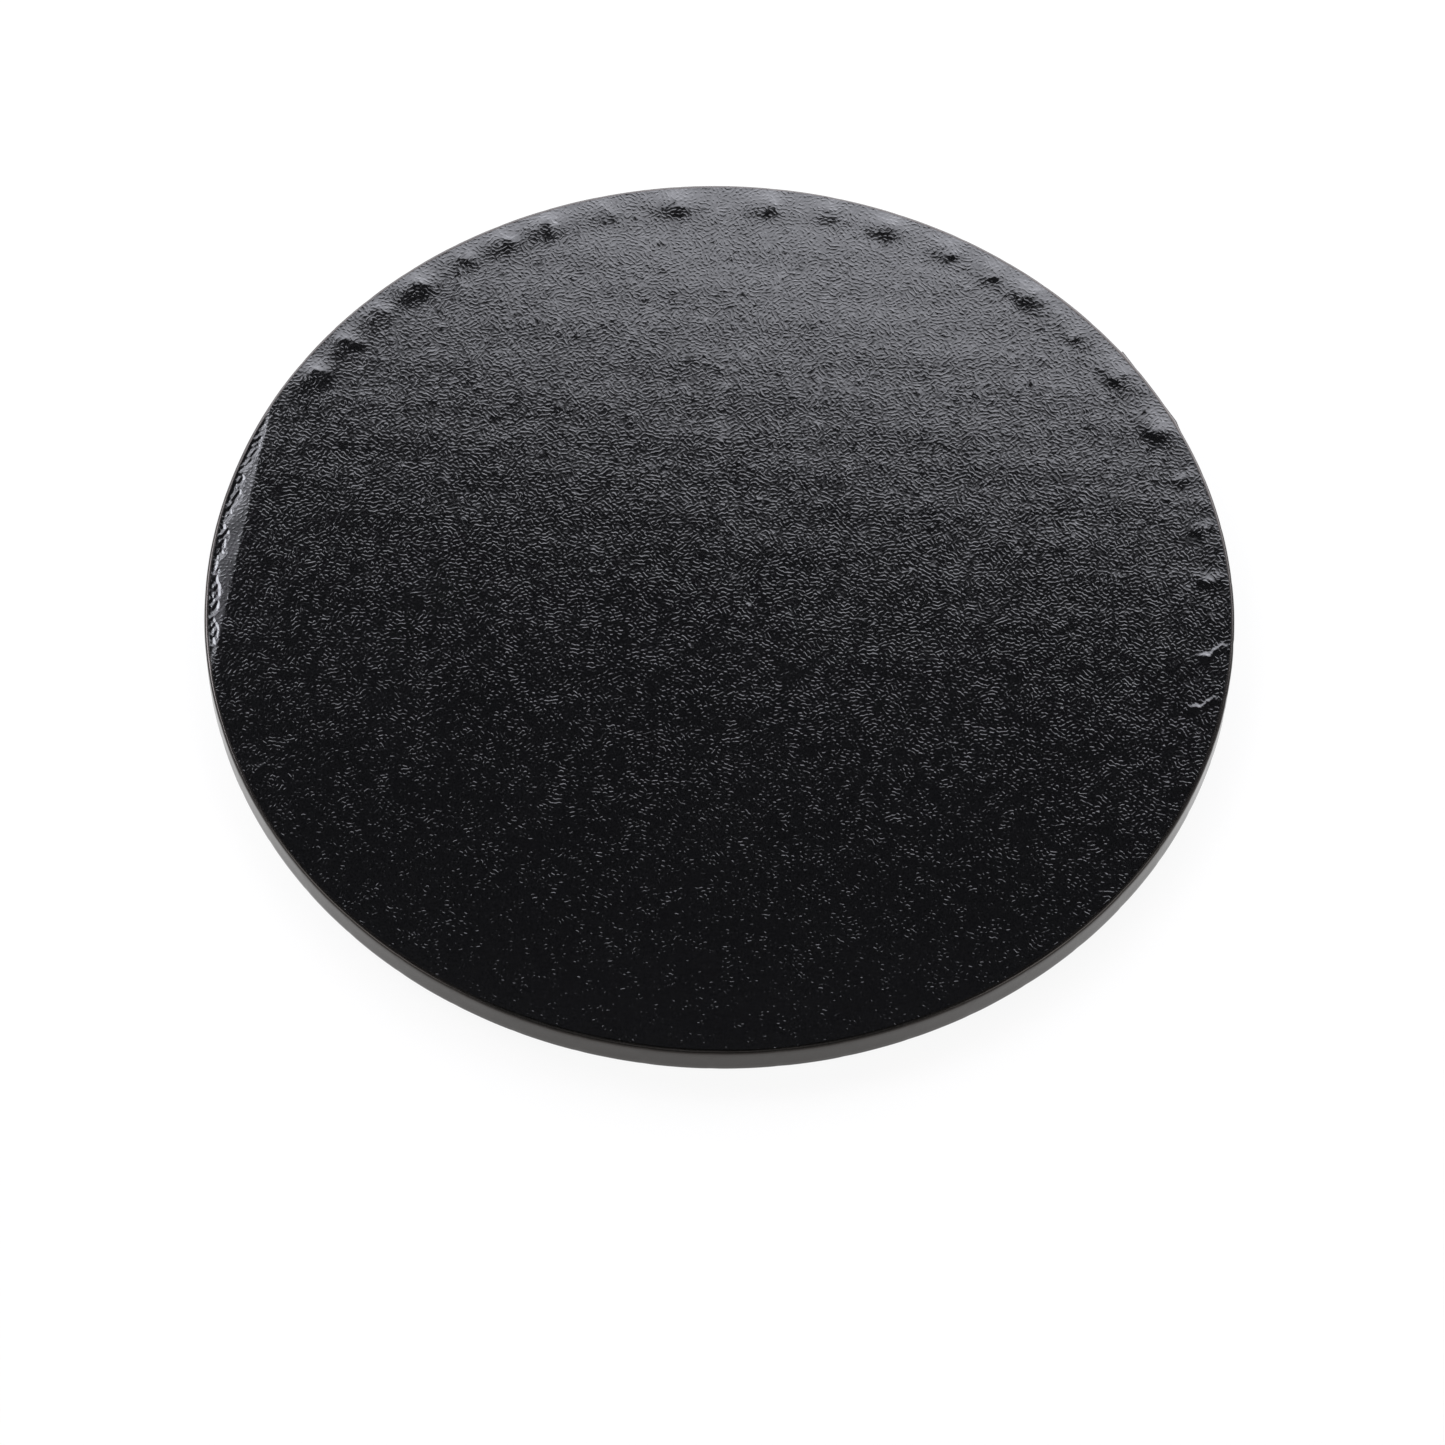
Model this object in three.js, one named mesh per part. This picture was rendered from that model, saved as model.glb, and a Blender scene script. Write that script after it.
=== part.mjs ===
// Round black cake board (cake drum), in millimetres, +Z up, origin at the centre of the underside.
//
// A thick card disc is wrapped by a strip of smooth paper round its side. The strip is lapped at one joint and
// turned in over both faces, where its spare length is folded into pleats. An embossed sheet covers the top and
// a plain sheet covers the base, and both lie over the turned-in strip.
//
// Every piece is swept round the board from the same list of columns, so that sheets which lie on each other
// share their corners and meet face to face.

import * as THREE from 'three';

// Overall size, with the thickness over the highest pleats
const BOARD_DIAMETER = 350;
const BOARD_THICKNESS = 12;

// Papers, and the rounding of the strip where it turns over the rim
const COVER_PAPER = 0.3;
const BAND_PAPER = 0.3;
const BASE_PAPER = 0.3;
const CORNER_RADIUS = 1;

// The strip is turned in this far, and its inner edge wanders in waves
const TURN_IN_WIDTH = 8.5;
const TURN_IN_WANDER = 0.7;
const WANDER_WAVES = 7;
const WANDER_SLOW_WAVES = 3;

// The cover ends just inside the rounded corner, and the base sheet laps over the turned-in strip
const COVER_MARGIN = 0.3;
const BASE_OVERLAP = 3;

// Pleats: a steep folded side, and a long side where the hidden layers end. The cover drapes off their inner ends.
const PLEAT_LIFT = 0.3;
const PROUD_PLEAT_LIFT = 0.5;
const PLEAT_STEEP_SIDE = 1.4;
const PLEAT_LONG_SIDE = 4.2;
const PLEAT_DRAPE = 4;

// Beside the base sheet the pleats swell again, a little short of what the board stands on
const BASE_SWELL_START = 0.6;
const BASE_SWELL_GAP = 0.1;

// Places of the pleats in degrees: those at the back, the two that stand proud, and the pitch of all others
const PLEATS_AT_BACK = [26, 35, 42.5, 50.5, 56, 62, 70, 77.5, 85, 96, 105, 112, 118, 123.5, 130, 136, 142, 147.5];
const PROUD_PLEATS = [348.2, 355.4];
const PLEAT_PITCH = 7.2;
const PROUD_PLEAT_ROOM = 4.5;

// Lap joint of the strip: the place of its cut end, its length, the step it makes and how it runs off
const LAP_ANGLE = 38;
const LAP_LENGTH = 34;
const LAP_STEP = 0.6;
const LAP_CUT = 0.45;
const LAP_RUN_OFF = 4.5;

// Knocked edge on the left: the top slopes down outside a straight line
const KNOCK_ANGLE = 173;
const KNOCK_WIDTH = 10;
const KNOCK_DEPTH = 0.9;

// Fineness: steps between columns in degrees, and points of the outer and the inner corner
const WIDEST_STEP = 2.75;
const NARROWEST_STEP = 0.1;
const OUTER_CORNER_STEPS = 3;
const INNER_CORNER_STEPS = 1;

const RIM = BOARD_DIAMETER / 2;
const FLAT_RADIUS = RIM - CORNER_RADIUS;
const COVER_RADIUS = FLAT_RADIUS - COVER_MARGIN;
const BASE_RADIUS = RIM - TURN_IN_WIDTH + BASE_OVERLAP;
const KNOCK_LINE = RIM - KNOCK_WIDTH;

const HIGHEST_LIFT = Math.max(PLEAT_LIFT, PROUD_PLEAT_LIFT);
const COVER_TOP = BOARD_THICKNESS - HIGHEST_LIFT;
const CORE_TOP = COVER_TOP - COVER_PAPER;
const CORE_BOTTOM = BASE_PAPER;
const REBATE_TOP = CORE_TOP - BAND_PAPER;
const REBATE_BOTTOM = CORE_BOTTOM + BAND_PAPER;

const radians = THREE.MathUtils.degToRad;
const degrees = THREE.MathUtils.radToDeg;
const arcDegrees = (length) => degrees(length / RIM);

// Turn from one angle to another, in degrees, between -180 and 180
function turn(from, to) {
  return ((((to - from + 180) % 360) + 360) % 360) - 180;
}

// All pleats, as their angle and lift. An even row closes the circle from the last pleat at the back to the
// first. It leaves room for the proud pleats, and the knocked edge has pressed its own pleats flat.
function listPleats() {
  const last = PLEATS_AT_BACK[PLEATS_AT_BACK.length - 1];
  const open = PLEATS_AT_BACK[0] + 360 - last;
  const gaps = Math.round(open / PLEAT_PITCH);
  const row = Array.from({ length: gaps - 1 }, (_, i) => last + ((i + 1) * open) / gaps);
  const clear = row.filter((at) => PROUD_PLEATS.every((proud) => Math.abs(turn(at, proud)) > PROUD_PLEAT_ROOM));
  const knocked = degrees(Math.acos(KNOCK_LINE / RIM));
  return [
    ...[...PLEATS_AT_BACK, ...clear].map((at) => ({ at: at % 360, lift: PLEAT_LIFT })),
    ...PROUD_PLEATS.map((at) => ({ at, lift: PROUD_PLEAT_LIFT })),
  ].filter(({ at }) => Math.abs(turn(at, KNOCK_ANGLE)) > knocked);
}

// Height that the pleats add at an angle, at the inner edge of the turned-in strip
function pleatLift(pleats, angle) {
  const heights = pleats.map(({ at, lift }) => {
    const away = radians(turn(at, angle)) * RIM;
    const side = away < 0 ? PLEAT_STEEP_SIDE : PLEAT_LONG_SIDE;
    return lift * (1 - Math.abs(away) / side);
  });
  return Math.max(0, ...heights);
}

// Columns of the sweep: at the feet and the crest of each pleat, at the ends of the lap and at the quarter
// turns, with the wider gaps filled in
function listColumns(pleats) {
  const lapStart = LAP_ANGLE - arcDegrees(LAP_LENGTH);
  const marks = [
    ...pleats.flatMap(({ at }) => [at - arcDegrees(PLEAT_STEEP_SIDE), at, at + arcDegrees(PLEAT_LONG_SIDE)]),
    ...[lapStart - arcDegrees(LAP_RUN_OFF), lapStart, LAP_ANGLE, LAP_ANGLE + arcDegrees(LAP_CUT)],
    ...[0, 90, 180, 270],
  ];
  const sorted = marks.map((angle) => (angle + 360) % 360).sort((a, b) => a - b);
  const apart = sorted.filter((angle, i) => i === 0 || angle - sorted[i - 1] > NARROWEST_STEP);
  const angles = apart.flatMap((angle, i) => {
    const next = i + 1 < apart.length ? apart[i + 1] : apart[0] + 360;
    const parts = Math.ceil((next - angle) / WIDEST_STEP);
    return Array.from({ length: parts }, (_, k) => THREE.MathUtils.lerp(angle, next, k / parts));
  });
  return angles.map((angle) => ({ angle, lift: pleatLift(pleats, angle) }));
}

// Inner edge of the turned-in strip
function turnInRadius(angle) {
  const waves = Math.sin(radians(angle * WANDER_WAVES)) + Math.sin(radians(angle * WANDER_SLOW_WAVES));
  return RIM - TURN_IN_WIDTH + (TURN_IN_WANDER * waves) / 2;
}

// How far the knocked edge lies below the rest of the top
function knock(radius, angle) {
  const beyond = radius * Math.cos(radians(turn(KNOCK_ANGLE, angle))) - KNOCK_LINE;
  return (KNOCK_DEPTH * Math.max(0, beyond)) / KNOCK_WIDTH;
}

// How far the lap stands out from the side. It is straight between its ends where the round board lets it be,
// it has a cut step at one end, and it runs off at the other.
function lapOut(angle) {
  const half = arcDegrees(LAP_LENGTH) / 2;
  const from = turn(LAP_ANGLE - half, angle);
  if (Math.abs(from) < half + NARROWEST_STEP / 10) {
    const straight = ((RIM + LAP_STEP) * Math.cos(radians(half))) / Math.cos(radians(from));
    return Math.max(0, straight - RIM);
  }
  const past = -from - half;
  const share = past > 0 ? 1 - past / arcDegrees(LAP_RUN_OFF) : 0;
  return LAP_STEP * Math.max(0, share);
}

// Closed solid swept round the board. Each point of its profile gives [radius, height] for a column. A profile
// that starts and ends on the axis closes there, and any other one closes on itself.
function sweep(name, material, profile, columns) {
  const rings = profile.map((point) => columns.map(point));
  const onAxis = rings.map((ring) => ring[0][0] === 0);
  const positions = [];
  const starts = rings.map((ring, i) => {
    const start = positions.length / 3;
    ring.slice(0, onAxis[i] ? 1 : ring.length).forEach(([radius, height], j) => {
      const angle = radians(columns[j].angle);
      positions.push(radius * Math.cos(angle), radius * Math.sin(angle), height);
    });
    return start;
  });
  const vertex = (i, j) => starts[i] + (onAxis[i] ? 0 : j % columns.length);
  const bands = onAxis[0] ? rings.length - 1 : rings.length;
  const indices = [];
  for (let i = 0; i < bands; i++) {
    const next = (i + 1) % rings.length;
    for (let j = 0; j < columns.length; j++) {
      const corners = [vertex(i, j), vertex(i, j + 1), vertex(next, j + 1), vertex(next, j)];
      indices.push(...splitQuad(corners, isInner(rings[i][j], rings[next][j])));
    }
  }
  const geometry = new THREE.BufferGeometry();
  geometry.setAttribute('position', new THREE.Float32BufferAttribute(positions, 3));
  geometry.setIndex(indices);
  geometry.computeVertexNormals();
  const mesh = new THREE.Mesh(geometry, material);
  mesh.name = name;
  return mesh;
}

// Whether a profile point lies nearer the axis than another, or below it on an upright wall
function isInner([radius, height], [otherRadius, otherHeight]) {
  return radius === otherRadius ? height < otherHeight : radius < otherRadius;
}

// Triangles of a quad, split from its inner ring to its outer ring in one turning direction, so that two solids
// with a common face split it alike. A quad that ends on the axis is one triangle.
function splitQuad([a, b, c, d], innerFirst) {
  if (a === b) {
    return [a, c, d];
  }
  if (c === d) {
    return [a, b, c];
  }
  return innerFirst ? [a, b, c, a, c, d] : [a, b, d, b, c, d];
}

// Profile points of a rounded corner, from a face that looks up or down outwards to the side, which may stand out
function corner(faceHeight, up, radius, steps, standOut) {
  return Array.from({ length: steps + 1 }, (_, i) => ({ angle }) => {
    const around = radians((90 * i) / steps);
    const reach = FLAT_RADIUS + radius * Math.sin(around);
    const sunk = up > 0 ? knock(reach, angle) : 0;
    const height = faceHeight - up * radius * (1 - Math.cos(around)) - sunk;
    return [reach + standOut(angle) * Math.sin(around), height];
  });
}

const outerCorner = (height, up) => corner(height, up, CORNER_RADIUS, OUTER_CORNER_STEPS, lapOut);
const innerCorner = (height, up) => corner(height, up, CORNER_RADIUS - BAND_PAPER, INNER_CORNER_STEPS, () => 0);

// Card disc, with a pressed rebate round both faces where the turned-in strip lies
function coreBoard(columns) {
  const greyCard = new THREE.MeshStandardMaterial({ color: 0xa39b8c, roughness: 0.95, metalness: 0 });
  const profile = [
    () => [0, CORE_BOTTOM],
    ({ angle }) => [turnInRadius(angle), CORE_BOTTOM],
    ({ angle }) => [turnInRadius(angle), REBATE_BOTTOM],
    ...innerCorner(REBATE_BOTTOM, -1),
    ...innerCorner(REBATE_TOP, 1).reverse(),
    ({ angle }) => [turnInRadius(angle), REBATE_TOP],
    ({ angle }) => [turnInRadius(angle), CORE_TOP],
    () => [0, CORE_TOP],
  ];
  return sweep('core_board', greyCard, profile, columns);
}

// Strip round the side, turned in over both faces, with its pleats and its lap
function edgeBand(columns) {
  const foilPaper = new THREE.MeshStandardMaterial({ color: 0x17171a, roughness: 0.3, metalness: 0 });
  const baseSwell = (BASE_PAPER - BASE_SWELL_GAP) / HIGHEST_LIFT;
  const profile = [
    ({ angle }) => [turnInRadius(angle), CORE_BOTTOM],
    () => [BASE_RADIUS, CORE_BOTTOM],
    ({ lift }) => [BASE_RADIUS + BASE_SWELL_START, CORE_BOTTOM - lift * baseSwell],
    ...outerCorner(CORE_BOTTOM, -1),
    ...outerCorner(CORE_TOP, 1).reverse(),
    ({ angle }) => [COVER_RADIUS, CORE_TOP - knock(COVER_RADIUS, angle)],
    ({ angle, lift }) => [turnInRadius(angle), CORE_TOP + lift],
    ({ angle }) => [turnInRadius(angle), REBATE_TOP],
    ...innerCorner(REBATE_TOP, 1),
    ...innerCorner(REBATE_BOTTOM, -1).reverse(),
    ({ angle }) => [turnInRadius(angle), REBATE_BOTTOM],
  ];
  return sweep('edge_band', foilPaper, profile, columns);
}

// Embossed sheet over the top, draped over the pleats of the strip
function topCover(columns) {
  const embossedFoil = new THREE.MeshStandardMaterial({ color: 0x121214, roughness: 0.22, metalness: 0 });
  const face = (height) => [
    () => [0, height],
    ({ angle }) => [turnInRadius(angle) - PLEAT_DRAPE, height],
    ({ angle, lift }) => [turnInRadius(angle), height + lift],
    ({ angle }) => [COVER_RADIUS, height - knock(COVER_RADIUS, angle)],
  ];
  return sweep('top_cover', embossedFoil, [...face(CORE_TOP), ...face(COVER_TOP).reverse()], columns);
}

// Plain sheet under the base
function basePaper(columns) {
  const whitePaper = new THREE.MeshStandardMaterial({ color: 0xe6e3dc, roughness: 0.9, metalness: 0 });
  const profile = [
    () => [0, 0],
    () => [BASE_RADIUS, 0],
    () => [BASE_RADIUS, BASE_PAPER],
    () => [0, BASE_PAPER],
  ];
  return sweep('base_paper', whitePaper, profile, columns);
}

const columns = listColumns(listPleats());
const board = new THREE.Group();
board.add(coreBoard(columns), edgeBand(columns), topCover(columns), basePaper(columns));

export default board;
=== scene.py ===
# Round black cake board on a pale floor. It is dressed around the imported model, in metres, +Z up.
#
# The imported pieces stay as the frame. The top cover and the edge strip are made again as fine meshes with
# their embossing, pleats, lap and knocked edge. The card core and the sheet under the board stay, with new
# materials.

import math

import bpy
import numpy as np
from mathutils import Matrix, Vector
from mathutils.geometry import delaunay_2d_cdt


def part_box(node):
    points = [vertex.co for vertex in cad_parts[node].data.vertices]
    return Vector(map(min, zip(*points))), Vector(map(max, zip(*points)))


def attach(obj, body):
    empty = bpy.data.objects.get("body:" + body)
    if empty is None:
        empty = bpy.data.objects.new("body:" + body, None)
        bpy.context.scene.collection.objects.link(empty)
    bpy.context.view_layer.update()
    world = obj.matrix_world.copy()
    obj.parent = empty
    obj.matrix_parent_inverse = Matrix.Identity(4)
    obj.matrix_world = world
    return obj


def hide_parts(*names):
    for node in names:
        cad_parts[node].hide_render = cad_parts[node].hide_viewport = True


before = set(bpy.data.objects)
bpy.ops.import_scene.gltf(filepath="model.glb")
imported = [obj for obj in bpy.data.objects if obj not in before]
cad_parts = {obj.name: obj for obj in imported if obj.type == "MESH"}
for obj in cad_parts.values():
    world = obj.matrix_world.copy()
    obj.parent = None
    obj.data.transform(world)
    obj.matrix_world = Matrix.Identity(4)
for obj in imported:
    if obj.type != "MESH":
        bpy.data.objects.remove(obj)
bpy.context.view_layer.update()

MM = 0.001
SEED = 35012

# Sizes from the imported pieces
CORE_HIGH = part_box("core_board")[1]
BASE_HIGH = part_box("base_paper")[1]
RIM = -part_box("edge_band")[0].x / MM
COVER_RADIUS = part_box("top_cover")[1].x / MM
BASE_RADIUS = BASE_HIGH.x / MM
BASE_PAPER = BASE_HIGH.z / MM
CORE_TOP = CORE_HIGH.z / MM
BAND_PAPER = RIM - CORE_HIGH.x / MM

# Sizes that repeat the solids, in millimetres and degrees
COVER_PAPER = 0.3
CORNER_RADIUS = 1.0
TURN_IN_WIDTH = 8.5
TURN_IN_WANDER = 0.7
PLEAT_LIFT = 0.3
PROUD_PLEAT_LIFT = 0.5
PLEAT_STEEP_SIDE = 1.4
PLEAT_LONG_SIDE = 4.2
PLEAT_DRAPE = 4.0
BASE_SWELL_GAP = 0.1
PLEATS_AT_BACK = [26, 35, 42.5, 50.5, 56, 62, 70, 77.5, 85, 96, 105, 112, 118, 123.5, 130, 136, 142, 147.5]
PROUD_PLEATS = [348.2, 355.4]
PLEAT_PITCH = 7.2
PROUD_PLEAT_ROOM = 4.5
LAP_ANGLE = 38.0
LAP_LENGTH = 34.0
LAP_STEP = 0.6
LAP_RUN_OFF = 4.5
KNOCK_ANGLE = 173.0
KNOCK_WIDTH = 10.0
KNOCK_DEPTH = 0.9

COVER_TOP = CORE_TOP + COVER_PAPER
KNOCK_LINE = RIM - KNOCK_WIDTH
FLAT_RADIUS = RIM - CORNER_RADIUS

# Embossing: short ridges in small patches of parallel strokes
PATCH_PITCH = 3.5
PATCH_ROW_SHARE = 0.866
PATCH_SCATTER = 1.4
PATCH_STROKES = (2, 4)
SPARE_COLUMNS = 8
STROKE_PITCH = 1.35
STROKE_SCATTER = 0.15
STROKE_SLIDE = 1.3
STROKE_TURN = 0.12
STROKE_BEND = 0.28
STROKE_LENGTH = (2.8, 5.0)
STROKE_SHORTEST = 1.8
STROKE_SHARES = (1.0, 0.75, 0.5)
STROKE_HALF_WIDTH = 0.34
STROKE_END_WIDTH_SHARE = 0.75
STROKE_HEIGHT = 0.024
STROKE_HEIGHT_SPREAD = (0.65, 1.2)
STROKE_END_HEIGHT_SHARE = 0.55
STROKE_STATIONS = 3
STROKE_CLEARANCE = 0.8
FOOT_CLEARANCE = 0.26
CHECK_STATIONS = 9
STROKE_CELL = 2.0
FOOT_CELL = 1.0

# Distances that the strokes, their centres and the fine points keep from the cover's edge
STROKE_MARGIN = 1.2
CENTRE_MARGIN = 2.5
FINE_MARGIN = 1.1

# Points of the cover's edge, of its underside and of the parts without strokes
EDGE_COUNT = 720
EDGE_INSET = 0.15
INNER_RING_INSET = 0.75
UNDER_RINGS = ((4.0, 360), (6.5, 360), (9.0, 360), (11.5, 360), (14.0, 360), (75.0, 60))
FINE_PITCH = 0.55
FINE_REACH = 0.6
SHARP_ANGLE = 42.0

# Pleats as the cover shows them: their height, and their soft dents at the back
PLEAT_SHARE_IN_FRONT = 0.45
PLEAT_SHARE_AT_BACK = 0.35
BACK_START = 0.25
BACK_FADE = 0.4
PROUD_PLEAT_SLANT = 0.24
DENT_LIFT = 0.3
DENT_HALF_WIDTH = 7.2
DENT_DRAPE = 7.6
DENT_SHIFT = 0.8
DENT_INSET = 0.8
DENT_END_SHARE = 1.3

# The crumpled edge of the knocked place, and the soft relief of the flat beside it
CRUMPLE_WIDTH = 3.6
CRUMPLE_DEPTH = 0.35
CRUMPLE_INNER_FADE = 0.9
CRUMPLE_RIM_FADE = 0.8
KNOCK_FADE = 1.5
FACET_RELIEF = 0.03
EMBOSSING_LOST = 0.62
EMBOSSING_FADE = 1.2

# Irregular lines, as waves of (height, rate, start)
PLEAT_WAVES = ((0.30, 0.95, 0.3), (0.12, 2.3, 1.0))
CUT_WAVES = ((0.10, 5.0, 0.7), (0.07, 13.0, 2.1), (0.04, 37.0, 0.0))
RIPPLE_WAVES = ((0.05, 23.0, 1.0), (0.035, 41.0, 0.4), (0.02, 97.0, 0.0))
CRUMPLE_WIDTH_WAVES = ((0.9, 0.31, 0.5), (0.5, 0.83, 2.0))
CRUMPLE_BEND_WAVES = ((0.7, 0.42, 0.0), (0.4, 1.1, 0.8))

# The strip: its columns, its tucks and ripple at the turns, and its rings under the cover
COLUMN_STEP = 0.25
LAP_END_COLUMNS = (0.02, 0.06, 0.1)
CORNER_STEPS = 6
TUCK_DEPTH = 0.12
SIDE_INSET = 0.09
SIDE_RIPPLE_SHARE = 0.6
CORNER_INSET = 0.06
CORNER_RIPPLE_SHARE = 0.4
SIDE_RINGS = (0.2, 0.5, 0.8)
SWELL_WIDTH = 0.6
SWELL_OUTER_SHARE = 0.6
TUCKED_RINGS = (0.3, 1.2, 2.4, 3.6)
TUCKED_END = 1.0

# Studio: the floor's own glow, the panels' gradient, the lamps and the surroundings
FLOOR_GLOW = 0.9
PANEL_SLANT = -0.28
PANEL_FOOT = 3.0
PANEL_COLOUR = (0.91, 0.92, 1.0, 1.0)
NO_FADE = (2.0, 3.0)
LAMP_SIZE = 1.2
LAMP_POWER = 12.0
SKY_HORIZON = (0.85, 0.85, 0.87, 1.0)
SKY_LEVELS = ((0.5, 0.4), (0.74, 0.2), (0.84, 0.04), (0.975, 0.04))
WHITE = (1.0, 1.0, 1.0, 1.0)
WARM = (1.0, 0.9, 0.84, 1.0)


def camera():
    """The photograph's camera: a long lens that looks down at the board from the front."""
    focal_pixels = 6020.0
    picture_pixels = 1445.0
    distance = 2033.1
    elevation = math.radians(58.51)
    roll = math.radians(1.614)
    look_at = Vector((2.06, -41.9, 0.0)) * MM
    back = Vector((0.0, -math.cos(elevation), math.sin(elevation)))
    right = Vector((1.0, 0.0, 0.0))
    up = right.cross(-back)
    data = bpy.data.cameras.new("photo_camera")
    data.sensor_width = 36.0
    data.lens = data.sensor_width * focal_pixels / picture_pixels
    data.clip_end = 20.0
    cam = bpy.data.objects.new("photo_camera", data)
    rolled_right = right * math.cos(roll) + up * math.sin(roll)
    rolled_up = up * math.cos(roll) - right * math.sin(roll)
    turned = Matrix((rolled_right, rolled_up, back)).transposed().to_4x4()
    cam.matrix_world = Matrix.Translation(look_at + back * distance * MM) @ turned
    bpy.context.scene.collection.objects.link(cam)
    bpy.context.scene.camera = cam


def turn(start, end):
    """Turn from one angle to another in degrees, between -180 and 180, on numbers or arrays."""
    return (np.asarray(end) - start + 180.0) % 360.0 - 180.0


def smooth(x):
    """Smooth step of a share, from 0 to 1."""
    x = np.clip(x, 0.0, 1.0)
    return x * x * (3.0 - 2.0 * x)


def waves(x, terms):
    """Sum of sine waves along x, each given as (height, rate, start)."""
    return sum(height * np.sin(rate * x + start) for height, rate, start in terms)


def polar(x, y):
    """Radius, and angle in degrees from 0 to 360."""
    return np.hypot(x, y), np.degrees(np.arctan2(y, x)) % 360.0


def list_pleats():
    """All pleats as (angle, lift): those at the back, an even row round the rest, and the two proud ones."""
    last = PLEATS_AT_BACK[-1]
    open_angle = PLEATS_AT_BACK[0] + 360.0 - last
    gaps = round(open_angle / PLEAT_PITCH)
    row = [last + i * open_angle / gaps for i in range(1, gaps)]
    clear = [a for a in row if all(abs(turn(a, p)) > PROUD_PLEAT_ROOM for p in PROUD_PLEATS)]
    knocked = math.degrees(math.acos(KNOCK_LINE / RIM))
    plain = [(a % 360.0, PLEAT_LIFT) for a in PLEATS_AT_BACK + clear]
    proud = [(a, PROUD_PLEAT_LIFT) for a in PROUD_PLEATS]
    return [(a, lift) for a, lift in plain + proud if abs(turn(a, KNOCK_ANGLE)) > knocked]


PLEATS = list_pleats()


def slanted(angle, radius):
    """Angle as a proud pleat counts it: its crest slants across the turned-in strip."""
    return angle + PROUD_PLEAT_SLANT * (RIM - TURN_IN_WIDTH / 2.0 - radius)


def pleat_height(angle, radius=RIM):
    """Height that the pleats add at the inner edge of the turned-in strip, with soft flanks."""
    height = np.zeros_like(angle)
    for at, lift in PLEATS:
        proud = lift == PROUD_PLEAT_LIFT
        away = np.radians(turn(at, slanted(angle, radius) if proud else angle)) * RIM
        side = np.where((away < 0.0) != proud, PLEAT_STEEP_SIDE, PLEAT_LONG_SIDE)
        height = np.maximum(height, lift * smooth(1.0 - np.abs(away) / side))
    return height


def dent_height(angle):
    """Soft swell of the cover over each pleat at the back. Some are stronger than others."""
    height = np.zeros_like(angle)
    for i, at in enumerate(PLEATS_AT_BACK):
        away = np.radians(turn(at + DENT_SHIFT, angle)) * RIM
        strength = 0.75 + 0.4 * math.sin(2.3 * i + 0.6)
        height += DENT_LIFT * strength * np.exp(-(away / DENT_HALF_WIDTH) ** 2)
    return height


def turn_in_radius(angle):
    """Radius of the inner edge of the turned-in strip, which wanders."""
    wander = np.sin(np.radians(angle * 7.0)) + np.sin(np.radians(angle * 3.0))
    return RIM - TURN_IN_WIDTH + TURN_IN_WANDER * wander / 2.0


def beyond_knock_line(radius, angle):
    """How far a point lies beyond the straight crease of the knocked place."""
    return radius * np.cos(np.radians(turn(KNOCK_ANGLE, angle))) - KNOCK_LINE


def knock(radius, angle):
    """Depth of the knocked place, a flat that slopes down from its crease to the rim."""
    return KNOCK_DEPTH * np.maximum(0.0, beyond_knock_line(radius, angle)) / KNOCK_WIDTH


def crumple(radius, angle):
    """Extra depth of the crumpled strip along the rim of the knocked place."""
    beyond = beyond_knock_line(radius, angle)
    along = radius * np.sin(np.radians(turn(KNOCK_ANGLE, angle)))
    inward = COVER_RADIUS - radius
    knocked = smooth(beyond / KNOCK_FADE)
    width = CRUMPLE_WIDTH + waves(along, CRUMPLE_WIDTH_WAVES)
    inside = smooth((width - inward) / CRUMPLE_INNER_FADE) * smooth(inward / CRUMPLE_RIM_FADE) * knocked
    soft = FACET_RELIEF * np.sin(0.23 * along + 0.6) * np.sin(0.5 * beyond) * knocked
    bent = 2.0 * waves(along, CRUMPLE_BEND_WAVES)
    folds = 0.55 + 0.3 * np.sin(2.6 * inward + bent) + 0.15 * np.sin(1.7 * along + 3.1 * inward + 0.7)
    return CRUMPLE_DEPTH * inside * folds + soft


def lap_out(angle):
    """How far the lap of the strip stands out from the side."""
    half = math.degrees(LAP_LENGTH / RIM) / 2.0
    off = turn(LAP_ANGLE - half, angle)
    straight = (RIM + LAP_STEP) * math.cos(math.radians(half)) / np.cos(np.radians(off)) - RIM
    past = -off - half
    run = LAP_STEP * (1.0 - past / math.degrees(LAP_RUN_OFF / RIM))
    beside = np.where(past > 0.0, np.maximum(0.0, run), 0.0)
    return np.where(np.abs(off) <= half, np.maximum(0.0, straight), beside)


def swell(x, y):
    """Slow waves of the glued sheet, a few hundredths of a millimetre high."""
    slow = 0.030 * np.sin(0.115 * x + 0.06 * y + 1.3) * np.sin(0.05 * x - 0.13 * y + 0.4)
    quick = 0.018 * np.sin(0.21 * x - 0.17 * y + 2.0) * np.sin(0.19 * x + 0.23 * y)
    return slow + quick


def top_relief(x, y):
    """Height of the cover's face over its flat middle, without the embossing."""
    radius, angle = polar(x, y)
    inner = turn_in_radius(angle)
    at_back = smooth((np.sin(np.radians(angle)) + BACK_START) / BACK_FADE)
    share = PLEAT_SHARE_IN_FRONT + PLEAT_SHARE_AT_BACK * at_back
    lift = pleat_height(angle + waves(radius, PLEAT_WAVES), radius) * share
    dent_drape = smooth((radius - (inner + DENT_INSET - DENT_DRAPE)) / DENT_DRAPE)
    drape = smooth((radius - (inner - PLEAT_DRAPE)) / PLEAT_DRAPE)
    wedge = np.clip((COVER_RADIUS - radius) / (COVER_RADIUS - inner), 0.0, 1.0)
    dents = dent_height(angle) * dent_drape * smooth(DENT_END_SHARE * wedge)
    lift = lift * np.where(radius < inner, drape, wedge) + dents
    return lift - knock(radius, angle) - crumple(radius, angle) + swell(x, y)


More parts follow.
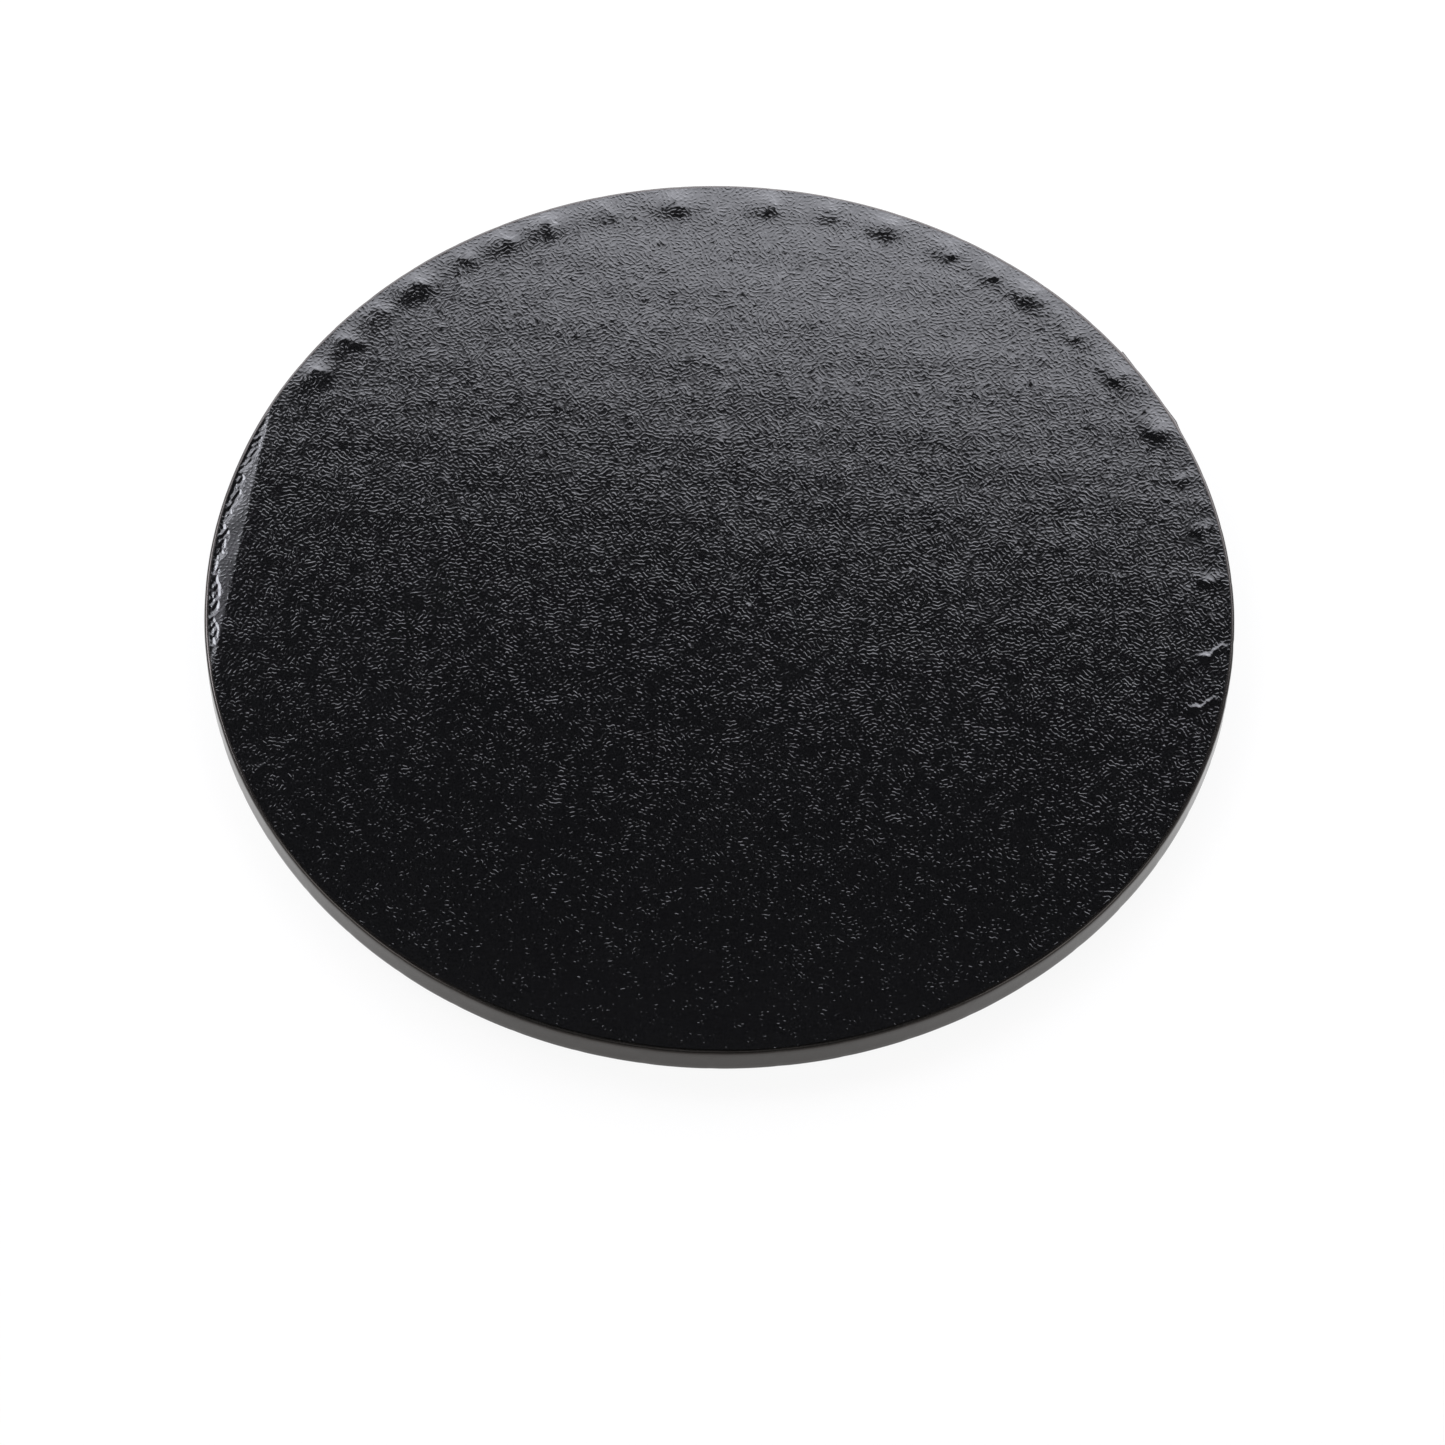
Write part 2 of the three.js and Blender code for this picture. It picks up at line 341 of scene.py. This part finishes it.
def list_strokes(rng):
    """Embossed strokes as (centre x, centre y, direction, length, bend), in patches of parallel ones."""
    strokes = []
    rows = int(COVER_RADIUS / (PATCH_PITCH * PATCH_ROW_SHARE)) + 1
    columns = rows + SPARE_COLUMNS
    fewest, most = PATCH_STROKES
    for row in range(-rows, rows + 1):
        for col in range(-columns, columns + 1):
            px = (col + 0.5 * (row % 2)) * PATCH_PITCH + rng.uniform(-PATCH_SCATTER, PATCH_SCATTER)
            py = row * PATCH_PITCH * PATCH_ROW_SHARE + rng.uniform(-PATCH_SCATTER, PATCH_SCATTER)
            way = rng.uniform(0.0, math.pi)
            count = int(rng.integers(fewest, most + 1))
            for k in range(count):
                scatter = rng.uniform(-STROKE_SCATTER, STROKE_SCATTER)
                across = (k - (count - 1) / 2.0) * STROKE_PITCH + scatter
                along = rng.uniform(-STROKE_SLIDE, STROKE_SLIDE)
                sx = px - math.sin(way) * across + math.cos(way) * along
                sy = py + math.cos(way) * across + math.sin(way) * along
                if math.hypot(sx, sy) < COVER_RADIUS - CENTRE_MARGIN:
                    length = rng.uniform(*STROKE_LENGTH)
                    own_way = way + rng.normal(0.0, STROKE_TURN)
                    strokes.append((sx, sy, own_way, length, rng.uniform(-STROKE_BEND, STROKE_BEND)))
    return strokes


def stroke_line(stroke, stations):
    """Points along a stroke, and its direction at each, as arrays."""
    sx, sy, way, length, bend = stroke
    s = np.linspace(-0.5, 0.5, stations) * length
    turn_by = bend * s / 2.0
    x = sx + s * np.cos(way + turn_by)
    y = sy + s * np.sin(way + turn_by)
    return x, y, way + bend * s


def take(taken, cell, a, b):
    """Enters a point in a table of square cells."""
    taken.setdefault((int(a // cell), int(b // cell)), []).append((a, b))


def is_clear(taken, cell, a, b, clearance):
    """Whether a point keeps its clearance from all the points in a table of square cells."""
    i, j = int(a // cell), int(b // cell)
    near = clearance ** 2
    for di in (-1, 0, 1):
        for dj in (-1, 0, 1):
            for c, d in taken.get((i + di, j + dj), ()):
                if (a - c) ** 2 + (b - d) ** 2 < near:
                    return False
    return True


def clear_strokes(strokes, rng):
    """Keeps the strokes that come no nearer to each other than the clearance, and shortens some to fit."""
    taken = {}
    kept = []
    for index in rng.permutation(len(strokes)):
        stroke = strokes[index]
        for share in STROKE_SHARES:
            tried = (*stroke[:3], stroke[3] * share, stroke[4])
            if tried[3] < STROKE_SHORTEST:
                break
            x, y, _ = stroke_line(tried, CHECK_STATIONS)
            if np.hypot(x, y).max() > COVER_RADIUS - STROKE_MARGIN or is_fine(x, y).any():
                continue
            if all(is_clear(taken, STROKE_CELL, a, b, STROKE_CLEARANCE) for a, b in zip(x, y)):
                for a, b in zip(x, y):
                    take(taken, STROKE_CELL, a, b)
                kept.append(tried)
                break
    return kept


def emboss_points(strokes, rng):
    """Crest and foot points of all strokes, their heights, and the crest lines as edges."""
    points, heights, edges, feet = [], [], [], []
    ends = (0, STROKE_STATIONS - 1)
    for stroke in strokes:
        x, y, way = stroke_line(stroke, STROKE_STATIONS)
        tall = STROKE_HEIGHT * rng.uniform(*STROKE_HEIGHT_SPREAD)
        first = len(points)
        for k in range(STROKE_STATIONS):
            points.append((x[k], y[k]))
            heights.append(tall * (STROKE_END_HEIGHT_SHARE if k in ends else 1.0))
            if k:
                edges.append((first + k - 1, first + k))
        for k in range(STROKE_STATIONS):
            wide = STROKE_HALF_WIDTH * (STROKE_END_WIDTH_SHARE if k in ends else 1.0)
            for side in (-1.0, 1.0):
                reach = side * wide
                feet.append((x[k] - math.sin(way[k]) * reach, y[k] + math.cos(way[k]) * reach))
    taken = {}
    for stroke in strokes:
        for a, b in zip(*stroke_line(stroke, CHECK_STATIONS)[:2]):
            take(taken, FOOT_CELL, a, b)
    for a, b in feet:
        if is_clear(taken, FOOT_CELL, a, b, FOOT_CLEARANCE):
            take(taken, FOOT_CELL, a, b)
            points.append((a, b))
            heights.append(0.0)
    return points, heights, edges


def is_fine(x, y):
    """Whether points lie on the knocked place or on a pleat that stands proud."""
    radius, angle = polar(x, y)
    fine = beyond_knock_line(radius, angle) > -FINE_REACH
    for at in PROUD_PLEATS:
        away = np.radians(turn(at, slanted(angle, radius))) * RIM
        fine = fine | ((np.abs(away) < PLEAT_LONG_SIDE) & (radius > RIM - TURN_IN_WIDTH - PLEAT_DRAPE))
    return fine


def fine_grid():
    """Close points where the cover has no embossed strokes."""
    steps = np.arange(-COVER_RADIUS, COVER_RADIUS, FINE_PITCH)
    x, y = np.meshgrid(steps, steps)
    x[1::2] += FINE_PITCH / 2.0
    x, y = x.ravel(), y.ravel()
    chosen = is_fine(x, y) & (np.hypot(x, y) < COVER_RADIUS - FINE_MARGIN)
    return list(zip(x[chosen], y[chosen]))


def ring_points(radius, count, start=0.0):
    """Even points on a circle."""
    angles = np.radians(start + np.arange(count) * 360.0 / count)
    return [(radius * math.cos(a), radius * math.sin(a)) for a in angles]


def mesh_object(name, vertices, faces, material):
    """Mesh object from points in millimetres, smooth shaded but for its sharp edges."""
    mesh = bpy.data.meshes.new(name)
    mesh.from_pydata([(x * MM, y * MM, z * MM) for x, y, z in vertices], [], faces)
    mesh.validate()
    mesh.polygons.foreach_set("use_smooth", [True] * len(mesh.polygons))
    mesh.set_sharp_from_angle(angle=math.radians(SHARP_ANGLE))
    mesh.materials.append(material)
    mesh.update()
    made = bpy.data.objects.new(name, mesh)
    bpy.context.scene.collection.objects.link(made)
    return made


def cut_edge():
    """Points of the cover's hand-cut edge, which wanders a little."""
    angle = np.radians(np.arange(EDGE_COUNT) * 360.0 / EDGE_COUNT)
    radius = COVER_RADIUS - EDGE_INSET + waves(angle, CUT_WAVES)
    return list(zip(radius * np.cos(angle), radius * np.sin(angle)))


def triangulate(points, edges, boundary):
    """Constrained triangles inside a closed boundary, and for each new point the first that it came from."""
    inside_only = 1
    tolerance = 1e-5
    loop = [(boundary[i], boundary[(i + 1) % len(boundary)]) for i in range(len(boundary))]
    result = delaunay_2d_cdt([Vector(p) for p in points], edges + loop, [], inside_only, tolerance)
    verts, faces, origins = result[0], result[2], result[3]
    return [(v.x, v.y) for v in verts], faces, [o[0] if o else -1 for o in origins]


def cover_top(ring):
    """Vertices and triangles of the cover's face, and the places of its edge points."""
    rng = np.random.default_rng(SEED)
    strokes = clear_strokes(list_strokes(rng), rng)
    points, heights, edges = emboss_points(strokes, rng)
    grid = fine_grid()
    points += grid
    heights += [0.0] * len(grid)
    first = len(points)
    inner = ring_points(COVER_RADIUS - INNER_RING_INSET, EDGE_COUNT, 180.0 / EDGE_COUNT)
    flat, faces, origins = triangulate(points + ring + inner, edges, list(range(first, first + EDGE_COUNT)))
    xy = np.array(flat)
    lifted = np.array([heights[o] if 0 <= o < first else 0.0 for o in origins])
    z = COVER_TOP + top_relief(xy[:, 0], xy[:, 1]) + lifted
    places = {o - first: i for i, o in enumerate(origins) if first <= o < first + EDGE_COUNT}
    return [(x, y, h) for (x, y), h in zip(flat, z)], faces, places


def cover_under(ring):
    """Vertices and triangles of the cover's underside, and the places of its edge points."""
    points = list(ring)
    for inset, count in UNDER_RINGS:
        points += ring_points(RIM - inset, count)
    points.append((0.0, 0.0))
    flat, faces, origins = triangulate(points, [], list(range(EDGE_COUNT)))
    xy = np.array(flat)
    z = COVER_TOP - COVER_PAPER + top_relief(xy[:, 0], xy[:, 1])
    places = {o: i for i, o in enumerate(origins) if 0 <= o < EDGE_COUNT}
    return [(x, y, h) for (x, y), h in zip(flat, z)], faces, places


def top_cover(material):
    """The embossed sheet: its top has a vertex for each crest and foot of the strokes."""
    ring = cut_edge()
    vertices, top_faces, top_rim = cover_top(ring)
    under, under_faces, under_rim = cover_under(ring)
    base = len(vertices)
    vertices += under
    faces = [tuple(f) for f in top_faces]
    faces += [tuple(base + i for i in reversed(f)) for f in under_faces]
    for k in range(EDGE_COUNT):
        n = (k + 1) % EDGE_COUNT
        faces.append((top_rim[k], base + under_rim[k], base + under_rim[n], top_rim[n]))
    made = mesh_object("embossed_cover", vertices, faces, material)
    place = np.array(vertices)
    beyond = beyond_knock_line(*polar(place[:, 0], place[:, 1]))
    mark = made.data.attributes.new("embossed", "FLOAT", "POINT")
    mark.data.foreach_set("value", 1.0 - EMBOSSING_LOST * smooth(beyond / EMBOSSING_FADE))
    return made


def sweep(name, profile, columns, material):
    """Closed solid swept round the board, from a closed loop of (radius, height) pairs over the columns."""
    angles = np.radians(columns)
    vertices = []
    for radius, height in profile:
        radius = np.broadcast_to(radius, angles.shape)
        height = np.broadcast_to(height, angles.shape)
        vertices += list(zip(radius * np.cos(angles), radius * np.sin(angles), height))
    count, rings = len(columns), len(profile)
    faces = []
    for i in range(rings):
        k = (i + 1) % rings
        for j in range(count):
            n = (j + 1) % count
            faces.append((i * count + j, i * count + n, k * count + n, k * count + j))
    return mesh_object(name, vertices, faces, material)


def edge_band(material):
    """The strip round the side with its rounded turns, its lap, its tucks and its pleats below."""
    lap_end = LAP_ANGLE + np.array(LAP_END_COLUMNS)
    columns = np.sort(np.concatenate([np.arange(0.0, 360.0, COLUMN_STEP), lap_end]))
    lift = pleat_height(columns) / PROUD_PLEAT_LIFT
    lap = lap_out(columns)
    ripple = waves(np.radians(columns), RIPPLE_WAVES)
    inner = turn_in_radius(columns)
    top, low = CORE_TOP, BASE_PAPER
    sunk = (BASE_PAPER - BASE_SWELL_GAP) * lift
    outward = lap - TUCK_DEPTH * lift + CORNER_RIPPLE_SHARE * ripple - CORNER_INSET
    swell_end = BASE_RADIUS + SWELL_WIDTH

    def corner(face, up):
        made = []
        for i in range(CORNER_STEPS + 1):
            around = math.radians(90.0 * i / CORNER_STEPS)
            reach = FLAT_RADIUS + CORNER_RADIUS * math.sin(around)
            drop = CORNER_RADIUS * (1.0 - math.cos(around))
            knocked = knock(reach, columns) if up > 0 else 0.0
            made.append((reach + outward * math.sin(around), face - up * drop - knocked))
        return made

    def side(share):
        height = low + CORNER_RADIUS + (top - low - 2.0 * CORNER_RADIUS) * share
        return RIM + lap + SIDE_RIPPLE_SHARE * ripple - SIDE_INSET, height

    def tucked(radius):
        return radius, top - knock(radius, columns) - crumple(radius, columns)

    def lining(radius, depth):
        return radius, top - depth - knock(radius, columns)

    profile = [
        (inner, low),
        (BASE_RADIUS, low),
        (swell_end, low - sunk),
        ((swell_end + FLAT_RADIUS) / 2.0, low - sunk * SWELL_OUTER_SHARE),
        *corner(low, -1),
        *[side(share) for share in SIDE_RINGS],
        *reversed(corner(top, 1)),
        *[tucked(COVER_RADIUS - inward) for inward in TUCKED_RINGS],
        tucked(inner + TUCKED_END),
        lining(inner + TUCKED_END, BAND_PAPER),
        lining(FLAT_RADIUS, BAND_PAPER),
        (RIM - BAND_PAPER, top - CORNER_RADIUS - knock(RIM, columns)),
        (RIM - BAND_PAPER, low + CORNER_RADIUS),
        (FLAT_RADIUS, low + BAND_PAPER),
        (inner, low + BAND_PAPER),
    ]
    return sweep("foil_edge_strip", profile, columns, material)


def nodes_of(name):
    """New material, its node tree and its shader."""
    material = bpy.data.materials.new(name)
    material.use_nodes = True
    tree = material.node_tree
    return material, tree, tree.nodes["Principled BSDF"]


def add(tree, kind, settings=None, **inputs):
    """Adds a node. Settings are its attributes, and inputs are values or sockets for its named inputs."""
    node = tree.nodes.new(kind)
    for key, value in (settings or {}).items():
        setattr(node, key, value)
    for key, value in inputs.items():
        plug(tree, node, key.replace("_", " "), value)
    return node


def plug(tree, node, which, value):
    """Gives an input of a node, by its name or number, a value or a link."""
    socket = node.inputs[which]
    if isinstance(value, bpy.types.NodeSocket):
        tree.links.new(value, socket)
    else:
        socket.default_value = value


def calculate(tree, operation, *values, kind="ShaderNodeMath"):
    """Result of one step of arithmetic on values or sockets."""
    node = add(tree, kind, {"operation": operation})
    for i, value in enumerate(values):
        plug(tree, node, i, value)
    return node.outputs[0]


def map_range(tree, value, start, end, to_start=0.0, to_end=1.0, interpolation="LINEAR"):
    """Value mapped from one range to another."""
    node = add(tree, "ShaderNodeMapRange", {"interpolation_type": interpolation}, Value=value,
               From_Min=start, From_Max=end, To_Min=to_start, To_Max=to_end)
    return node.outputs["Result"]


def colour_ramp(tree, value, stops):
    """Colour from a ramp of (position, colour) stops, the first two of which are its ends."""
    node = add(tree, "ShaderNodeValToRGB", Fac=value)
    elements = node.color_ramp.elements
    for i, (position, colour) in enumerate(stops):
        element = elements[i] if i < 2 else elements.new(position)
        element.position = position
        element.color = colour
    return node.outputs["Color"]


def grey(level):
    """Opaque grey."""
    return level, level, level, 1.0


def pressed_strokes(tree, place):
    """Height of the finest strokes, from bent waves, weaker where the mesh's embossed mark is low."""
    wavy = add(tree, "ShaderNodeTexNoise", Vector=place, Scale=430.0, Detail=1.0).outputs["Color"]
    bent = calculate(tree, "MULTIPLY_ADD", wavy, (0.002, 0.002, 0.0), place, kind="ShaderNodeVectorMath")
    gabor = add(tree, "ShaderNodeTexGabor", Vector=bent, Scale=200.0, Frequency=3.2, Anisotropy=0.0)
    ridges = map_range(tree, gabor.outputs["Value"], 0.42, 0.78, interpolation="SMOOTHSTEP")
    mark = add(tree, "ShaderNodeAttribute", {"attribute_name": "embossed"})
    return calculate(tree, "MULTIPLY", ridges, mark.outputs["Fac"])


def foil_material(name, colour, roughness, spread, ior, tint, embossed):
    """Black glossy paper: its gloss and colour vary softly, and it has the fine grain of pressed foil."""
    material, tree, shader = nodes_of(name)
    place = add(tree, "ShaderNodeTexCoord").outputs["Object"]
    cloud = add(tree, "ShaderNodeTexNoise", Vector=place, Scale=38.0, Detail=4.0, Roughness=0.6)
    grain = add(tree, "ShaderNodeTexNoise", Vector=place, Scale=1400.0, Detail=3.0, Roughness=0.55)
    gloss = map_range(tree, cloud.outputs["Fac"], 0.3, 0.7, roughness - spread, roughness + spread)
    dark = tuple(0.7 * c for c in colour)
    light = tuple(1.35 * c for c in colour)
    tone = colour_ramp(tree, grain.outputs["Fac"], ((0.35, (*dark, 1.0)), (0.7, (*light, 1.0))))
    bump = add(tree, "ShaderNodeBump", Height=grain.outputs["Fac"], Strength=0.2, Distance=0.00005)
    if embossed:
        bump = add(tree, "ShaderNodeBump", Height=pressed_strokes(tree, place), Strength=1.0,
                   Distance=0.000036, Normal=bump.outputs["Normal"])
    plug(tree, shader, "Base Color", tone)
    plug(tree, shader, "Roughness", gloss)
    plug(tree, shader, "Normal", bump.outputs["Normal"])
    plug(tree, shader, "IOR", ior)
    plug(tree, shader, "Specular Tint", tint)
    return material


def paper_material(name, dark, light, roughness):
    """Uncoated paper or grey card: fibres, soft clouds and a faint tooth."""
    material, tree, shader = nodes_of(name)
    place = add(tree, "ShaderNodeTexCoord").outputs["Object"]
    cloud = add(tree, "ShaderNodeTexNoise", Vector=place, Scale=60.0, Detail=6.0, Roughness=0.65)
    stretched = add(tree, "ShaderNodeMapping", Vector=place, Scale=(1.0, 4.0, 1.0)).outputs["Vector"]
    fibre = add(tree, "ShaderNodeTexNoise", Vector=stretched, Scale=700.0, Detail=5.0, Roughness=0.7)
    both = calculate(tree, "MULTIPLY", cloud.outputs["Fac"], fibre.outputs["Fac"])
    tone = colour_ramp(tree, both, ((0.12, (*dark, 1.0)), (0.38, (*light, 1.0))))
    bump = add(tree, "ShaderNodeBump", Height=fibre.outputs["Fac"], Strength=0.25, Distance=0.00008)
    plug(tree, shader, "Base Color", tone)
    plug(tree, shader, "Normal", bump.outputs["Normal"])
    plug(tree, shader, "Roughness", roughness)
    return material


def seen_directly(tree):
    """Socket that is 1 for camera rays and for rays that leave gloss or glass."""
    path = add(tree, "ShaderNodeLightPath").outputs
    gloss = calculate(tree, "MAXIMUM", path["Is Camera Ray"], path["Is Glossy Ray"])
    return calculate(tree, "MAXIMUM", gloss, path["Is Transmission Ray"])


def floor():
    """Pale floor, white to the camera, which keeps a little of the board's shadow."""
    half = 4.0
    gap = 0.0001
    mesh = bpy.data.meshes.new("floor")
    corners = [(-half, -half, 0), (half, -half, 0), (half, half, 0), (-half, half, 0)]
    mesh.from_pydata(corners, [], [(0, 1, 2, 3)])
    made = bpy.data.objects.new("floor", mesh)
    made.location.z = -gap
    bpy.context.scene.collection.objects.link(made)
    material, tree, shader = nodes_of("floor_white")
    plug(tree, shader, "Base Color", (0.8, 0.79, 0.78, 1.0))
    plug(tree, shader, "Roughness", 0.9)
    plug(tree, shader, "Specular IOR Level", 0.0)
    glow = add(tree, "ShaderNodeEmission", Strength=1.0)
    share = calculate(tree, "MULTIPLY", seen_directly(tree), FLOOR_GLOW)
    mix = add(tree, "ShaderNodeMixShader", Fac=share)
    plug(tree, mix, 1, shader.outputs["BSDF"])
    plug(tree, mix, 2, glow.outputs["Emission"])
    plug(tree, tree.nodes["Material Output"], "Surface", mix.outputs["Shader"])
    mesh.materials.append(material)


def panel_material(name, strength, fade):
    """Glow that falls with the square of a slanted gradient between two heights and grows to the foot."""
    material, tree, shader = nodes_of(name)
    tree.nodes.remove(shader)
    place = add(tree, "ShaderNodeTexCoord").outputs["Generated"]
    apart = add(tree, "ShaderNodeSeparateXYZ", Vector=place).outputs
    height = calculate(tree, "MULTIPLY_ADD", apart["X"], PANEL_SLANT, apart["Y"])
    level = map_range(tree, height, fade[0], fade[1], math.sqrt(strength), 0.0)
    squared = calculate(tree, "MULTIPLY", level, level)
    below = map_range(tree, height, 0.0, fade[0], PANEL_FOOT, 1.0)
    both = calculate(tree, "MULTIPLY", squared, below)
    glow = add(tree, "ShaderNodeEmission", Color=PANEL_COLOUR, Strength=both)
    plug(tree, tree.nodes["Material Output"], "Surface", glow.outputs["Emission"])
    return material


def panel(name, azimuth, elevations, distance, width, strength, fade):
    """Soft light panel that faces the board and spans two elevations in degrees."""
    low, high = elevations
    centre_angle = math.radians((low + high) / 2.0)
    half = distance * math.tan(math.radians((high - low) / 2.0))
    mesh = bpy.data.meshes.new(name)
    corners = [(-width / 2, -half, 0), (width / 2, -half, 0), (width / 2, half, 0), (-width / 2, half, 0)]
    mesh.from_pydata(corners, [], [(0, 1, 2, 3)])
    made = bpy.data.objects.new(name, mesh)
    turn_z = math.radians(azimuth)
    outward = Vector((-math.sin(turn_z), math.cos(turn_z), 0.0))
    side = Vector((math.cos(turn_z), math.sin(turn_z), 0.0))
    back = outward * math.cos(centre_angle) + Vector((0, 0, math.sin(centre_angle)))
    up = Vector((0, 0, math.cos(centre_angle))) - outward * math.sin(centre_angle)
    turned = Matrix((side, up, side.cross(up))).transposed().to_4x4()
    made.matrix_world = Matrix.Translation(back * distance) @ turned
    bpy.context.scene.collection.objects.link(made)
    mesh.materials.append(panel_material(name, strength, fade))
    made.visible_camera = False
    made.visible_shadow = False


def lamp(name, place):
    """Square soft lamp that faces the board."""
    data = bpy.data.lights.new(name, "AREA")
    data.shape = "SQUARE"
    data.size = LAMP_SIZE
    data.energy = LAMP_POWER
    made = bpy.data.objects.new(name, data)
    made.location = place
    made.rotation_euler = (-Vector(place)).to_track_quat("-Z", "Y").to_euler()
    bpy.context.scene.collection.objects.link(made)


def sky():
    """Surroundings: pale at the horizon, dark high up and bright overhead, and white to the camera."""
    world = bpy.data.worlds.new("studio")
    world.use_nodes = True
    tree = world.node_tree
    place = add(tree, "ShaderNodeTexCoord").outputs["Generated"]
    height = add(tree, "ShaderNodeSeparateXYZ", Vector=place).outputs["Z"]
    stops = [(0.0, SKY_HORIZON), (1.0, WHITE)] + [(at, grey(level)) for at, level in SKY_LEVELS]
    seen = add(tree, "ShaderNodeLightPath").outputs["Is Camera Ray"]
    # Inputs 6 and 7 and output 2 of this node are its colours
    colour = add(tree, "ShaderNodeMix", {"data_type": "RGBA"}, Factor=seen)
    plug(tree, colour, 6, colour_ramp(tree, height, stops))
    plug(tree, colour, 7, WHITE)
    plug(tree, tree.nodes["Background"], "Color", colour.outputs[2])
    bpy.context.scene.world = world


def light_up():
    """A bright panel behind the board, two small ones for the knocked place, two lamps and the sky."""
    sky()
    panel("back_panel", azimuth=0.0, elevations=(15.0, 66.0), distance=1.6, width=3.0,
          strength=3.45, fade=(0.55, 0.651))
    panel("facet_panel", azimuth=36.0, elevations=(44.0, 58.0), distance=1.5, width=0.34,
          strength=2.8, fade=(0.05, 0.80))
    panel("crumple_panel", azimuth=57.0, elevations=(26.0, 50.0), distance=1.5, width=0.5,
          strength=4.6, fade=NO_FADE)
    lamp("left_lamp", (-1.6, -0.5, 1.6))
    lamp("right_lamp", (1.6, -0.5, 1.6))
    bpy.context.scene.view_settings.view_transform = "Standard"


def dress():
    """Makes the fine pieces, gives every piece its material and says what rides on what."""
    cover_foil = foil_material("embossed_black_foil", (0.0037, 0.0037, 0.0040), roughness=0.085,
                               spread=0.015, ior=1.6, tint=WHITE, embossed=True)
    strip_foil = foil_material("smooth_black_foil", (0.008, 0.0075, 0.007), roughness=0.17,
                               spread=0.04, ior=1.46, tint=WARM, embossed=False)
    card = paper_material("grey_card", (0.34, 0.31, 0.27), (0.58, 0.55, 0.49), roughness=0.95)
    white = paper_material("white_base_paper", (0.74, 0.72, 0.68), (0.90, 0.89, 0.86), roughness=0.85)
    cover = top_cover(cover_foil)
    strip = edge_band(strip_foil)
    pieces = ((cover, "top_cover", "embossed_foil_paper"), (strip, "edge_band", "smooth_foil_paper"))
    for piece, node, slot in pieces:
        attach(piece, "root")
        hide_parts(node)
    for node, material in (("core_board", card), ("base_paper", white)):
        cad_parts[node].data.materials.clear()
        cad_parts[node].data.materials.append(material)


camera()
dress()
floor()
light_up()
